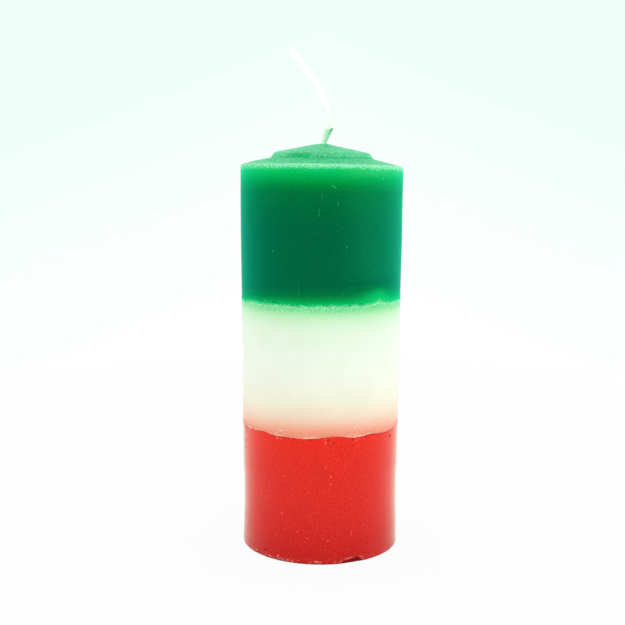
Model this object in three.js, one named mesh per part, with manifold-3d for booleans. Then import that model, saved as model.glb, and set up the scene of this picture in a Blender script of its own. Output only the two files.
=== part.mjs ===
// A devotional pillar candle in three colours, about 55 mm across and 139 mm high without its wick.
// It is cast upside down in one mould: the green crown first, then white, then red. Each pour sinks as it
// cools, so the next one fills a shallow bowl in it. A last red top-up fills the sink in the foot.
// Millimetres, +Z up. The origin is the centre of the foot, and the front faces -Y.
import * as THREE from 'three';
import { ConvexGeometry } from 'three/addons/geometries/ConvexGeometry.js';
import { mergeVertices } from 'three/addons/utils/BufferGeometryUtils.js';
import Module from 'manifold-3d';

const wasm = await Module();
wasm.setup();

// Body. A draw is how much smaller the wall's radius is there than at the rim.
const RIM_RADIUS = 27.7;
const UPPER_SEAM_DRAW = 0.3;
const LOWER_SEAM_DRAW = 0.55;
const WAIST_DRAW = 1.0;
const WAIST_HEIGHT = 17;
const FOOT_DRAW = 0.6;
const FOOT_ROUND = 0.35;
const RED_HEIGHT = 42.8;
const WHITE_HEIGHT = 43.5;
const GREEN_HEIGHT = 44.9;

// Crown: a slope up from the rim, a step, a flatter cone, and a small flat nose round the wick.
const RIM_ROUND = 0.8;
const STEP_TOP_RADIUS = 16.2;
const STEP_RUN = 1.2;
const SLOPE_RISE = 2.6;
const STEP_RISE = 1.9;
const CONE_RISE = 2.8;
const NOSE_FLAT = 1.8;
const NOSE_RISE = 0.35;
const STEP_ROUND = 0.7;
const CROWN_LEAN = 0.6; // degrees, down towards +X

// Where two pours meet: a bead on the upper one over a fine groove, on a line that isn't quite level.
const BEAD_PROUD = 0.18;
const BEAD_HEIGHT = 1.0;
const GROOVE_DEPTH = 0.3;
const GROOVE_HEIGHT = 0.6;
const SINK_DEPTH = 2.6;
const MENISCUS_RISE = 1.1;
const MENISCUS_WIDTH = 1.6;
const SEAM_REACH = 7; // how far above and below a seam its humps still move the wax
const RIPPLE = 0.14;
const UPPER_HUMPS = [
  { at: 43, rise: 1.5, spread: 7 },
  { at: -72, rise: -0.6, spread: 12 },
  { at: 158, rise: 0.8, spread: 14 },
];
const LOWER_HUMPS = [
  { at: -45, rise: 0.7, spread: 6 },
  { at: 10, rise: 0.8, spread: 9 },
  { at: 39, rise: 0.5, spread: 6 },
  { at: -140, rise: 0.7, spread: 16 },
];

// Wick: a round primed braid that runs from the foot through every pour and stands out of the nose. The wax
// holds it pinched, so it is thinner up to the nose and full a little way over it.
const WICK_DIAMETER = 2.4;
const WICK_WAIST = 1.6;
const WICK_NECK = 5; // height over the nose at which it is full
const WICK_CLEARANCE = 0.3;
const WICK_DRIFT = 0.6; // how far it leaves the axis by the nose, towards +X
const WICK_SIDES = 10;
const WICK_STEPS = 80;
// The free end's bends, as x, y and height over the nose.
const WICK_BENDS = [
  [1.4, 0, 2.6],
  [2.15, -0.1, 6.8],
  [1.7, -0.1, 10.6],
  [0.4, 0.1, 14.1],
  [-1.3, 0.4, 18.7],
  [-4.1, 0.8, 22.7],
  [-7.15, 1.2, 26.6],
  [-10.7, 1.6, 31.2],
];

// Green wax that the wick drew up: a thin coat with a torn lip on its right.
const COAT_HEIGHT = 4.3;
const COAT_CLEARANCE = 0.1;
const COAT_WALL = 0.15;
const COAT_SEAT = 0.3;
const COAT_LIP = 0.7;
const COAT_LIP_RISE = 0.4;
const COAT_SIDES = 20;
const COAT_RINGS = 6;

// Foot: the sink round the wick, the red top-up in it, and a chip in the edge at the front right.
const WELL_RADIUS = 16;
const WELL_DEPTH = 6;
const TOP_UP_RECESS = 0.3;
const TOP_UP_DISH = 1.0;
const WICK_STUB = 0.5; // how far the cut end stands below the top-up's dished face
const CHIP_ANGLE = 26;
const CHIP_LEFT = 11.5;
const CHIP_RIGHT = 6;
const CHIP_HEIGHT = 1.9;
const CHIP_DEPTH = 1.3;

const SEGMENTS = 60;
const CURVE_STEPS = 3;

const lowerSeam = RED_HEIGHT;
const upperSeam = RED_HEIGHT + WHITE_HEIGHT;
const rimHeight = upperSeam + GREEN_HEIGHT;
const noseHeight = rimHeight + SLOPE_RISE + STEP_RISE + CONE_RISE + NOSE_RISE;
const boreRadius = WICK_WAIST / 2 + WICK_CLEARANCE;
const noseRadius = boreRadius + NOSE_FLAT;

const radians = THREE.MathUtils.degToRad;
const point = (radius, height) => new THREE.Vector2(radius, height);

// The wall's radius at a height, eased from one station to the next.
function wallRadius(height) {
  const stations = [
    point(RIM_RADIUS - FOOT_DRAW, 0),
    point(RIM_RADIUS - WAIST_DRAW, WAIST_HEIGHT),
    point(RIM_RADIUS - LOWER_SEAM_DRAW, lowerSeam),
    point(RIM_RADIUS - UPPER_SEAM_DRAW, upperSeam),
    point(RIM_RADIUS, rimHeight),
  ];
  const above = Math.max(1, stations.findIndex((station) => station.y >= height));
  const [low, high] = [stations[above - 1], stations[above]];
  return THREE.MathUtils.lerp(low.x, high.x, THREE.MathUtils.smoothstep(height, low.y, high.y));
}

// Points on the wall between two heights, both left out.
function wallPoints(from, to, count) {
  return Array.from({ length: count }, (_, i) => {
    const height = THREE.MathUtils.lerp(from, to, (i + 1) / (count + 1));
    return point(wallRadius(height), height);
  });
}

// The sum of a seam's humps and its ripple at an angle from the front, in degrees.
function seamRise(angle, humps) {
  const away = (at) => THREE.MathUtils.euclideanModulo(angle - at + 180, 360) - 180;
  const bell = ({ at, rise, spread }) => rise * Math.exp(-((away(at) / spread) ** 2));
  const ripple = Math.sin(radians(5 * angle)) + Math.sin(radians(11 * angle + 40));
  return humps.reduce((sum, hump) => sum + bell(hump), (RIPPLE * ripple) / 2);
}

// Moves a point of the plain turned candle to where the real pours left it. Every wax piece goes through
// this, so faces that meet before it still meet after it.
function asPoured(x, y, z) {
  const radius = Math.hypot(x, y);
  const angle = THREE.MathUtils.radToDeg(Math.atan2(x, -y));
  const outward = Math.min(1, radius / RIM_RADIUS) ** 2;
  const near = (seam) => Math.max(0, 1 - Math.abs(z - seam) / SEAM_REACH) * outward;
  const leaning = THREE.MathUtils.smoothstep(z, upperSeam + SEAM_REACH, rimHeight);
  const rise =
    seamRise(angle, UPPER_HUMPS) * near(upperSeam) +
    seamRise(angle, LOWER_HUMPS) * near(lowerSeam) -
    Math.tan(radians(CROWN_LEAN)) * x * leaning;
  const inner = 1 - THREE.MathUtils.clamp((radius - boreRadius) / NOSE_FLAT, 0, 1);
  return [x + wickDrift(z) * inner, y, z + rise];
}

function wickDrift(height) {
  return (WICK_DRIFT * height) / noseHeight;
}

// Turns a closed outline of radius and height round +Z. Quads are split from their outer corner, so that
// two pieces that share a stretch of outline share its triangles too.
function turned(outline) {
  const count = outline.length;
  const positions = [];
  for (let s = 0; s < SEGMENTS; s++) {
    const angle = (2 * Math.PI * s) / SEGMENTS;
    for (const { x: radius, y: height } of outline) {
      positions.push(...asPoured(radius * Math.cos(angle), radius * Math.sin(angle), height));
    }
  }
  const faces = [];
  for (let s = 0; s < SEGMENTS; s++) {
    for (let k = 0; k < count; k++) {
      const next = (k + 1) % count;
      const [here, there] = [s * count, ((s + 1) % SEGMENTS) * count];
      const [a, b, c, d] = [here + k, there + k, there + next, here + next];
      if (outline[k].x > outline[next].x) faces.push(a, b, c, a, c, d);
      else faces.push(a, b, d, b, c, d);
    }
  }
  return bufferOf(positions, faces);
}

function bufferOf(positions, faces) {
  const geometry = new THREE.BufferGeometry();
  geometry.setAttribute('position', new THREE.Float32BufferAttribute(positions, 3));
  geometry.setIndex(faces);
  geometry.computeVertexNormals();
  return geometry;
}

// The bowl that a pour leaves as it cools, from its edge in the seam's groove in to the wick's bore.
function pourSurface(seam) {
  const edge = wallRadius(seam) - GROOVE_DEPTH;
  const steps = [0, 0.03, 0.08, 0.18, 0.38, 0.66, 1];
  return steps.map((share) => {
    const radius = THREE.MathUtils.lerp(edge, boreRadius, share);
    const bowl = SINK_DEPTH * (1 - (radius / edge) ** 2);
    const meniscus = MENISCUS_RISE * (1 - Math.exp((radius - edge) / MENISCUS_WIDTH));
    return point(radius, seam + bowl + meniscus);
  });
}

// The sink in the foot, from the edge of the top-up in to the wick's bore.
function wellSurface() {
  const depthAt = (radius) => WELL_DEPTH * (1 - (radius / WELL_RADIUS) ** 2);
  const edge = WELL_RADIUS * Math.sqrt(1 - TOP_UP_RECESS / WELL_DEPTH);
  const steps = [0, 0.15, 0.35, 0.65, 1];
  return steps.map((share) => {
    const radius = THREE.MathUtils.lerp(edge, boreRadius, share);
    return point(radius, depthAt(radius));
  });
}

// A line towards a corner, and a round through it towards the next corner.
function roundCorner(path, corner, next, size) {
  const start = corner.clone().add(path.currentPoint.clone().sub(corner).setLength(size));
  const end = corner.clone().add(next.clone().sub(corner).setLength(size));
  path.lineTo(start.x, start.y);
  path.quadraticCurveTo(corner.x, corner.y, end.x, end.y);
}

// The wall's lower end over a seam: out of the groove, round the bead, and back to the wall.
function beadOver(seam) {
  const radius = wallRadius(seam);
  const path = new THREE.Path();
  path.moveTo(radius - GROOVE_DEPTH, seam);
  const bulge = point(radius + BEAD_PROUD, seam + 0.1 * BEAD_HEIGHT);
  const crest = point(radius + BEAD_PROUD, seam + 0.5 * BEAD_HEIGHT);
  path.quadraticCurveTo(bulge.x, bulge.y, crest.x, crest.y);
  path.lineTo(wallRadius(seam + BEAD_HEIGHT), seam + BEAD_HEIGHT);
  return path.getPoints(CURVE_STEPS).slice(1);
}

// The wall's upper end under a seam, where it turns in to the groove.
function shoulderUnder(seam) {
  const start = point(wallRadius(seam - GROOVE_HEIGHT), seam - GROOVE_HEIGHT);
  return [start, point(wallRadius(seam) - 0.3 * GROOVE_DEPTH, seam - 0.3 * GROOVE_HEIGHT)];
}

// The crown's outline from the rim up to the bore, with its step.
function crownOutline() {
  const rim = point(RIM_RADIUS, rimHeight);
  const stepFoot = point(STEP_TOP_RADIUS + STEP_RUN, rimHeight + SLOPE_RISE);
  const stepTop = point(STEP_TOP_RADIUS, stepFoot.y + STEP_RISE);
  const noseEdge = point(noseRadius, stepTop.y + CONE_RISE);
  const mouth = point(boreRadius, noseHeight);
  const path = new THREE.Path();
  path.moveTo(rim.x, rim.y - 4 * RIM_ROUND);
  roundCorner(path, rim, stepFoot, RIM_ROUND);
  roundCorner(path, stepFoot, stepTop, STEP_ROUND);
  roundCorner(path, stepTop, noseEdge, STEP_ROUND);
  roundCorner(path, noseEdge, mouth, STEP_ROUND);
  path.lineTo(mouth.x, mouth.y);
  return path.getPoints(CURVE_STEPS);
}

function greenTier() {
  const crown = crownOutline();
  return turned([
    ...beadOver(upperSeam),
    ...wallPoints(upperSeam + BEAD_HEIGHT, crown[0].y, 2),
    ...crown,
    ...pourSurface(upperSeam).reverse(),
  ]);
}

function whiteTier() {
  return turned([
    ...beadOver(lowerSeam),
    ...wallPoints(lowerSeam + BEAD_HEIGHT, upperSeam - GROOVE_HEIGHT, 3),
    ...shoulderUnder(upperSeam),
    ...pourSurface(upperSeam),
    ...pourSurface(lowerSeam).reverse(),
  ]);
}

function redTier() {
  const foot = point(wallRadius(0), 0);
  const path = new THREE.Path();
  path.moveTo(WELL_RADIUS, 0);
  roundCorner(path, foot, point(wallRadius(FOOT_ROUND), FOOT_ROUND), FOOT_ROUND);
  return turned([
    ...path.getPoints(CURVE_STEPS),
    ...wallPoints(FOOT_ROUND, lowerSeam - GROOVE_HEIGHT, 6),
    ...shoulderUnder(lowerSeam),
    ...pourSurface(lowerSeam),
    ...wellSurface().reverse(),
  ]);
}

function footTopUp() {
  const well = wellSurface();
  const edge = well[0];
  const dish = [0, 0.25, 0.6].map((share) => {
    const radius = THREE.MathUtils.lerp(boreRadius, edge.x, share);
    return point(radius, edge.y + TOP_UP_DISH * (1 - share ** 2));
  });
  return turned([...well, ...dish]);
}

// The wick's centre line, from its cut end in the foot to its free tip.
function wickLine() {
  const cutEnd = TOP_UP_RECESS + TOP_UP_DISH - WICK_STUB;
  const inside = [cutEnd, 0.5 * noseHeight, 0.97 * noseHeight, noseHeight].map(
    (height) => new THREE.Vector3(wickDrift(height), 0, height),
  );
  const bends = WICK_BENDS.map(([x, y, over]) => new THREE.Vector3(x, y, noseHeight + over));
  return new THREE.CatmullRomCurve3([...inside, ...bends], false, 'centripetal');
}

function wickRadius(height) {
  const free = THREE.MathUtils.smoothstep(height, noseHeight, noseHeight + WICK_NECK);
  return THREE.MathUtils.lerp(WICK_WAIST, WICK_DIAMETER, free) / 2;
}

// Rings across the wick's line from its cut end to its tip, with a flat cut at each end.
function wick() {
  const line = wickLine();
  const { normals, binormals } = line.computeFrenetFrames(WICK_STEPS);
  const positions = [];
  const faces = [];
  for (let k = 0; k <= WICK_STEPS; k++) {
    const centre = line.getPointAt(k / WICK_STEPS);
    const radius = wickRadius(centre.z);
    for (let s = 0; s < WICK_SIDES; s++) {
      const angle = (2 * Math.PI * s) / WICK_SIDES;
      const place = centre.clone().addScaledVector(normals[k], radius * Math.cos(angle));
      positions.push(...place.addScaledVector(binormals[k], radius * Math.sin(angle)));
      const next = (s + 1) % WICK_SIDES;
      const [here, there] = [k * WICK_SIDES, (k + 1) * WICK_SIDES];
      if (k < WICK_STEPS) faces.push(here + s, here + next, there + next, here + s, there + next, there + s);
    }
  }
  const last = WICK_STEPS * WICK_SIDES;
  for (let s = 1; s < WICK_SIDES - 1; s++) faces.push(0, s + 1, s, last, last + s, last + s + 1);
  return bufferOf(positions, faces);
}

// The wick's centre at a height over the nose, where the line climbs all the way.
function wickAt(line, height) {
  let [low, high] = [0, 1];
  for (let i = 0; i < 40; i++) {
    const middle = (low + high) / 2;
    if (line.getPoint(middle).z < height) low = middle;
    else high = middle;
  }
  return line.getPoint(low);
}

// Level rings round the wick: an outer skin from bottom to top, and an inner one back down.
function wickCoat() {
  const line = wickLine();
  const positions = [];
  const faces = [];
  const rings = 2 * COAT_RINGS;
  for (let k = 0; k < rings; k++) {
    const climb = k < COAT_RINGS ? k / (COAT_RINGS - 1) : (rings - 1 - k) / (COAT_RINGS - 1);
    const base = noseHeight + COAT_SEAT + COAT_HEIGHT * climb;
    const centre = wickAt(line, base);
    const inner = wickRadius(base) + COAT_CLEARANCE;
    for (let s = 0; s < COAT_SIDES; s++) {
      const angle = (2 * Math.PI * s) / COAT_SIDES;
      const torn = Math.max(0, Math.cos(angle)) ** 3 * climb ** 2;
      const radius = k < COAT_RINGS ? inner + COAT_WALL + COAT_LIP * torn : inner;
      positions.push(
        centre.x + radius * Math.cos(angle),
        centre.y + radius * Math.sin(angle),
        base + COAT_LIP_RISE * torn,
      );
      const next = (s + 1) % COAT_SIDES;
      const [here, there] = [k * COAT_SIDES, ((k + 1) % rings) * COAT_SIDES];
      faces.push(here + s, here + next, there + next, here + s, there + next, there + s);
    }
  }
  return bufferOf(positions, faces);
}

// The flake that is missing from the foot's edge: long and low on its left, steep on its right.
function chipFlake() {
  const at = (angle, reach, height) => {
    const turn = radians(CHIP_ANGLE + angle);
    return new THREE.Vector3(reach * Math.sin(turn), -reach * Math.cos(turn), height);
  };
  const wall = wallRadius(0);
  const outside = wall + 0.3;
  const below = -0.5;
  return new ConvexGeometry([
    at(-CHIP_LEFT, outside, below),
    at(-0.85 * CHIP_LEFT, outside, 0.35 * CHIP_HEIGHT),
    at(-0.4 * CHIP_LEFT, outside, 0.75 * CHIP_HEIGHT),
    at(0, outside, CHIP_HEIGHT),
    at(0.4 * CHIP_RIGHT, outside, 0.9 * CHIP_HEIGHT),
    at(CHIP_RIGHT, outside, below),
    at(0, wall - 0.6 * CHIP_DEPTH, 0.85 * CHIP_HEIGHT),
    at(0, wall - CHIP_DEPTH, below),
    at(-0.4 * CHIP_LEFT, wall - 0.8 * CHIP_DEPTH, below),
  ]);
}

// A closed geometry as a manifold-3d solid, with only its positions kept and merged.
function solidOf(geometry) {
  const bare = geometry.clone();
  for (const name of Object.keys(bare.attributes)) {
    if (name !== 'position') bare.deleteAttribute(name);
  }
  const merged = mergeVertices(bare, 1e-4);
  return new wasm.Manifold(
    new wasm.Mesh({
      numProp: 3,
      vertProperties: merged.attributes.position.array,
      triVerts: new Uint32Array(merged.index.array),
    }),
  );
}

function cut(geometry, tool) {
  const mesh = solidOf(geometry).subtract(solidOf(tool)).getMesh();
  return bufferOf(Array.from(mesh.vertProperties), Array.from(mesh.triVerts));
}

const wax = (name, color) => new THREE.MeshStandardMaterial({ name, color, roughness: 0.42, metalness: 0 });
const greenWax = wax('green_wax', 0x0f8a4c);
const whiteWax = wax('white_wax', 0xeef3df);
const redWax = wax('red_wax', 0xd42a24);
const paleGreenWax = wax('pale_green_wax', 0xa8e0b8);
const cotton = new THREE.MeshStandardMaterial({ name: 'primed_cotton', color: 0xf7f6f0, roughness: 0.7, metalness: 0 });

const candle = new THREE.Group();

function add(name, geometry, material) {
  const mesh = new THREE.Mesh(geometry, material);
  mesh.name = name;
  candle.add(mesh);
}

add('green_crown_tier', greenTier(), greenWax);
add('white_middle_tier', whiteTier(), whiteWax);
add('red_foot_tier', cut(redTier(), chipFlake()), redWax);
add('foot_top_up', footTopUp(), redWax);
add('wick', wick(), cotton);
add('wick_wax_coat', wickCoat(), paleGreenWax);

export default candle;
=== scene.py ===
"""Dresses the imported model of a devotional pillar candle: cast wax in three colours and a braided wick.

The candle was cast upside down, so each colour's lower edge overhangs the next one in a crumbly bead.
Shapes are worked out in millimetres, with angles in degrees from the front, and turned into metres when a
mesh is made.
"""

import math

import bmesh
import bpy
import numpy as np
from bpy.props import FloatProperty, FloatVectorProperty, PointerProperty
from mathutils import Matrix, Vector


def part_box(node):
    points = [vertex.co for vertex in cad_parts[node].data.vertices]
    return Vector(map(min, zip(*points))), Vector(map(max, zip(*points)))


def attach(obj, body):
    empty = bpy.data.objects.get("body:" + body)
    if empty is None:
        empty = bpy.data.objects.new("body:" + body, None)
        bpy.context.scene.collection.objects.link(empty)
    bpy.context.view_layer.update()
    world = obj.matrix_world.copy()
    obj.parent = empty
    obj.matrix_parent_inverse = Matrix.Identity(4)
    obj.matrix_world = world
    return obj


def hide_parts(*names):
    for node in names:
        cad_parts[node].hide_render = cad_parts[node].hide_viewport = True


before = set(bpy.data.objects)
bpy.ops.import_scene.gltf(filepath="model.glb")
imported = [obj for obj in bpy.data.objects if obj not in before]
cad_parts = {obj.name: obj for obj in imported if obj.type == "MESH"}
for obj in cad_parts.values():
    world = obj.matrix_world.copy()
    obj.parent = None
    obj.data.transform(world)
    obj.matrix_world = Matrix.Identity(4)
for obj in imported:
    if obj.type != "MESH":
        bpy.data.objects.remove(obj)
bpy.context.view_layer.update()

CROWN_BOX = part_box("green_crown_tier")

bl_info = {
    "name": "Pillar candle in three colours",
    "version": (1, 0, 0),
    "blender": (4, 5, 0),
    "location": "3D View > Sidebar > Candle",
    "description": "Builds a cast pillar candle with a braided wick, and a small studio to show it in",
    "category": "Add Mesh",
}

MM = 0.001

# How finely a tier is turned: steps round the front and the back, and the spacing of its rows.
FRONT_STEPS = 390
BACK_STEPS = 108
FRONT_EDGE = 95
VERY_FINE = 0.1
FINE = 0.2
MIDDLING = 0.45
COARSE = 2.0

# The wall's draw: how much smaller than the rim it is, at heights from the foot.
WALL_DRAWS = [
    (0, 0.6), (4, 0.7), (17, 1.0), (23, 0.95), (30, 0.7),
    (43, 0.58), (86, 0.3), (112, 0.06), (131.2, 0),
]

# Where a seam leaves its level: angle, rise and spread.
UPPER_HUMPS = [(45, 1.0, 6.5), (-72, -0.6, 12), (158, 0.8, 14)]
LOWER_HUMPS = [(-45, 0.7, 6), (10, 0.8, 9), (39, 0.5, 6), (-140, 0.7, 16)]
SEAM_REACH = 7.0
SEAM_RIPPLE = 0.14
SINK_DEPTH = 2.6
MENISCUS_RISE = 1.1
MENISCUS_WIDTH = 1.6

# Unevenness of the mould's wall, which runs on from pour to pour: height and size.
SWELL_HEIGHT = 0.05
SWELL_SIZE = 13

BEAD_PROUD = 0.07
GROOVE_DEPTH = 0.14
RIM_ROUND = 0.8
STEP_ROUND = 0.7
STEP_TOP_RADIUS = 16.2
STEP_RUN = 1.2
SLOPE_RISE = 2.6
STEP_RISE = 1.9
CONE_RISE = 2.8
NOSE_RISE = 0.35
CROWN_LEAN = 0.6
NOSE_RADIUS = 2.9
NOSE_ROUND = 0.2
MOUTH_RADIUS = 0.9
MOUTH_DEPTH = 2
FROST_START = 1

WELL_RADIUS = 16.0
WELL_DEPTH = 6.0
TOP_UP_RECESS = 0.3
TOP_UP_DISH = 1.0

# The wick's free end: x, y and height over the nose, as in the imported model.
WICK_BENDS = [
    (1.4, 0, 2.6),
    (2.15, -0.1, 6.8),
    (1.7, -0.1, 10.6),
    (0.4, 0.1, 14.1),
    (-1.3, 0.4, 18.7),
    (-4.1, 0.8, 22.7),
    (-7.15, 1.2, 26.6),
    (-10.7, 1.6, 31.2),
]
WICK_DRIFT = 0.6
WICK_RADIUS = 1.24
WICK_WAIST = 0.78
WICK_NECK = 5.0
WICK_STUB = 0.5
STRANDS = 4
LAY = 9.0
STRAND_RELIEF = 0.045
WICK_SIDES = 96
WICK_STEP = 0.14

# The rings of a cut end, from its edge in: share of the wick's radius, and rise.
CUT_RINGS = [(0.92, 0.08), (0.7, 0.13), (0.4, 0.1), (0.08, 0.14)]

COAT_SEAT = -0.3
COAT_HEIGHT = 5.1
COAT_GAP = 0.04
COAT_WALL = 0.13
COAT_LIP = 0.6
COAT_SKIRT = 0.45
COAT_SIDES = 96
COAT_RINGS = 40

# Marks of the mould and of handling: angle, height, half width, half height, tone, push outwards and tilt. A
# dark tone is painted shade in the dent.
GREEN_MARKS = [
    (-15.5, 92.6, 0.25, 3.0, 0.14),
    (15, 90.2, 0.2, 0.8, 0.25, 0.0, 10),
    (-71, 87.0, 0.5, 0.3, 0.7, 0.05, 20),
    (-66, 86.4, 0.6, 0.3, 0.9, 0.05, -15),
    (-59, 86.6, 0.4, 0.25, 0.7, 0.04),
    (-42, 87.5, 0.3, 0.35, 0.4, 0.04),
    (-33, 87.1, 1.5, 0.2, -0.9, -0.12, -8),
    (22.5, 127.3, 0.35, 0.3, 0.6),
    (7.4, 124.8, 0.5, 0.35, 0.45, 0.03, 30),
    (9.0, 124.3, 0.25, 0.4, 0.35, 0.03),
    (10.9, 124.1, 0.35, 0.35, -0.5, -0.15),
    (10.9, 119.2, 0.22, 0.5, 0.4),
    (0.2, 121.9, 0.2, 1.3, 0.2, 0.0, 8),
    (-1.7, 116.3, 0.2, 1.5, 0.25),
    (-34.6, 103.8, 0.35, 0.3, 0.35),
    (17.3, 105.5, 0.3, 0.3, 0.35),
    (17.9, 105.2, 0.25, 0.25, -0.4, -0.1),
    (46, 127.3, 0.25, 0.5, 0.35),
    (128, 101, 0.3, 2.2, 0.3, 0.0, 6),
    (-150, 110, 0.4, 0.35, 0.4),
    (-118, 96, 0.25, 1.4, 0.3, 0.0, -10),
]
WHITE_MARKS = [
    (-32.2, 43.9, 0.75, 0.3, 1.0, 0.12, 25),
    (-28.8, 44.75, 0.85, 0.3, 1.0, 0.12, 12),
    (-30.3, 44.2, 0.8, 0.22, -0.25, -0.12, 25),
    (-10.2, 43.3, 0.4, 0.3, 0.8, 0.08),
    (27.0, 46.75, 0.6, 0.2, 0.8, 0.04, -25),
    (25.5, 46.3, 0.55, 0.18, 0.7, 0.04, -25),
    (24.0, 46.0, 0.5, 0.18, 0.7, 0.04, -25),
    (37.8, 48.6, 0.28, 0.8, 0.8, 0.0, 10),
    (40.5, 49.2, 0.26, 0.9, 0.8, 0.0, 14),
    (32.5, 47.9, 0.24, 0.6, 0.6, 0.0, 5),
    (39.5, 86.0, 0.6, 0.3, 1.0, 0.05, 10),
    (24.3, 86.1, 0.6, 0.28, 0.9, 0.05),
    (51.3, 46.9, 0.35, 0.35, 0.4),
    (170, 45.5, 0.8, 0.3, 0.8, 0.1, 15),
    (-120, 47.0, 0.3, 0.7, 0.4, 0.0, 10),
]
RED_MARKS = [
    (3.4, 42.3, 0.35, 0.5, 0.42, 0.04, 20),
    (8.6, 42.6, 0.45, 0.4, 0.42, 0.04, -40),
    (3.6, 41.0, 0.3, 0.6, 0.4, 0.04, 10),
    (7.5, 41.0, 0.3, 0.4, 0.38, 0.03, -20),
    (5.4, 41.8, 0.8, 0.2, -0.45, -0.1, -35),
    (9.2, 40.7, 0.6, 0.2, -0.5, -0.1, -40),
    (5.6, 42.9, 0.9, 0.15, -0.35, -0.06, 20),
    (23.3, 42.1, 0.45, 0.25, -0.6, -0.15, 20),
    (23.2, 40.4, 0.4, 0.3, -0.5, -0.15),
    (25.6, 41.8, 0.5, 0.28, 0.5, 0.08, 20),
    (28.0, 42.3, 0.45, 0.25, 0.5, 0.08, 30),
    (60.2, 40.6, 0.4, 0.6, -1.0, -0.35, 10),
    (62.5, 41.6, 0.35, 0.35, 0.5, 0.05),
    (-70.6, 42.2, 0.35, 0.6, -1.0, -0.25),
    (-66.0, 42.3, 0.3, 0.45, -1.0, -0.2),
    (-68.0, 41.1, 0.25, 0.5, -0.8, -0.15),
    (-61.5, 42.5, 0.9, 0.22, 1.0, 0.06, -25),
    (-31.5, 42.1, 0.7, 0.25, 0.8, 0.08),
    (-28.6, 42.0, 0.4, 0.25, 0.7, 0.08),
    (-69.3, 37.8, 0.35, 0.5, -0.8, -0.2),
    (-69.4, 35.3, 0.3, 0.6, -0.6, -0.15),
    (-55.2, 32.1, 0.3, 0.4, 0.7),
    (-26.7, 29.5, 0.3, 0.3, 0.4),
    (4.0, 33.2, 0.35, 0.3, 0.5),
    (7.6, 30.1, 0.3, 0.35, 0.5),
    (7.6, 27.4, 0.3, 0.3, 0.5),
    (-28.3, 16.7, 0.32, 0.32, 0.8),
    (-25.9, 11.4, 0.35, 0.3, 0.5),
    (-16.0, 11.0, 0.3, 0.35, 0.4),
    (5.8, 8.3, 0.35, 0.3, 0.45),
    (-8.9, 8.9, 0.5, 0.2, 0.4, 0.0, -40),
    (23.2, 10.4, 0.25, 0.9, 0.35, 0.0, -12),
    (53.5, 8.7, 0.3, 0.3, -0.7, -0.15),
    # The next two marks are painted highlights along the chip's upper edge.
    (21.0, 1.75, 1.8, 0.3, 0.45, 0.04, 8),
    (30.8, 1.75, 0.6, 0.3, 0.5, 0.04, -30),
    (-53.1, 1.1, 0.5, 0.4, 0.9, 0.06),
    (-42.6, 2.6, 0.4, 0.4, -0.9, -0.3),
    (-37.9, 0.9, 0.8, 0.3, 0.8, 0.06, -10),
    (-31.0, 1.8, 0.5, 0.3, 0.8, 0.05),
    (-27.5, 0.5, 0.5, 0.3, 0.9, 0.05),
    (-19.7, 0.5, 0.6, 0.3, 0.8, 0.05),
    (-2.4, 1.1, 0.6, 0.35, 0.8, 0.12),
    (34.0, 2.5, 0.35, 0.3, -0.6, -0.2),
    (150, 40.9, 0.5, 0.4, -0.8, -0.25),
    (-160, 4.0, 0.5, 0.4, -0.7, -0.25),
    (110, 22.0, 0.3, 0.9, 0.4, 0.0, 10),
]
CHIP_ANGLE = 28
CHIP_LEFT = 13
CHIP_RIGHT = 5.8
CHIP_HEIGHT = 1.9
CHIP_DEPTH = 1.2

# Single features, each with its angle and spread.
CRUSTY_RIM = (-70, 28)
# The glow lift makes the painted glow over the upper seam shorter; the glow cut makes it taller and widens
# the pale ledge.
GLOW_CUT = (43, 17)
GLOW_LIFT = (-75, 38)
BALD_PATCH = (-26, 13)
# The rubbed foot is also where the painted contact shadow is widest.
RUBBED_AND_SHADED_FOOT = (-35, 45)

# The dimple beside the wick, which is only painted shade in the cone: place across and towards the front, and
# spread both ways.
DIMPLE_PLACE = (1.6, 5)
DIMPLE_SPREAD = (0.8, 2.6)

# Where the lower seam's lip is pale and torn, and where the seam stays open, with a painted shadow in its
# groove: angle and spread.
LIP_PATCHES = [(-62, 4), (-30, 5), (-7, 7), (18, 4), (31, 9), (110, 20), (200, 25)]
CRACK_PATCHES = [(-38, 8), (-21, 5), (-6, 6), (33, 9), (54, 11), (120, 25), (-150, 30)]

CAMERA_PLACE = (0, -351.82, 128.06)
CAMERA_DOWN = 7.64
CAMERA_TURN = 0.48
CAMERA_ROLL = 0.26
CAMERA_LENS = 58.84
CAMERA_SENSOR = 36

# The wax's texture in millimetres, and how it answers light.
WAX_GRAIN = 0.36
WAX_CLOUD = 7.0
SPECK_SPACING = 2.6
SPECK_SIZE = 0.34
WAX_BUMPS = 0.06
COTTON_BUMPS = 0.05
BLOOM_ROUGHNESS = 0.8
WAX_IOR = 1.44
HAZE_IOR = 1.12
HAZE_ROUGHNESS = 0.2

# The studio, in metres.
FLOOR_RADIUS = 0.36
FLOOR_GREY = 0.86
FLOOR_GLOW = 0.92
BACKDROP_LOW = -0.12
BACKDROP_HIGH = 0.2
BACKDROP_SIDES = 0.4

# The lamps: name, setting for the power, size, place, height that it faces, and beam in degrees.
LAMPS = [
    ("key_softbox", "key_power", 0.6, (0.42, -0.85, 0.5), 0.075, 180),
    ("top_softbox", "top_power", 0.6, (0, 0.35, 0.95), 0.075, 180),
    ("left_strip", "side_power", 0.4, (-0.75, 0.35, 0.2), 0.075, 180),
    ("right_strip", "side_power", 0.4, (0.75, 0.35, 0.2), 0.075, 180),
    ("wick_lamp", "wick_power", 0.03, (-0.22, -0.3, 0.2), 0.162, 10),
]


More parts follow.
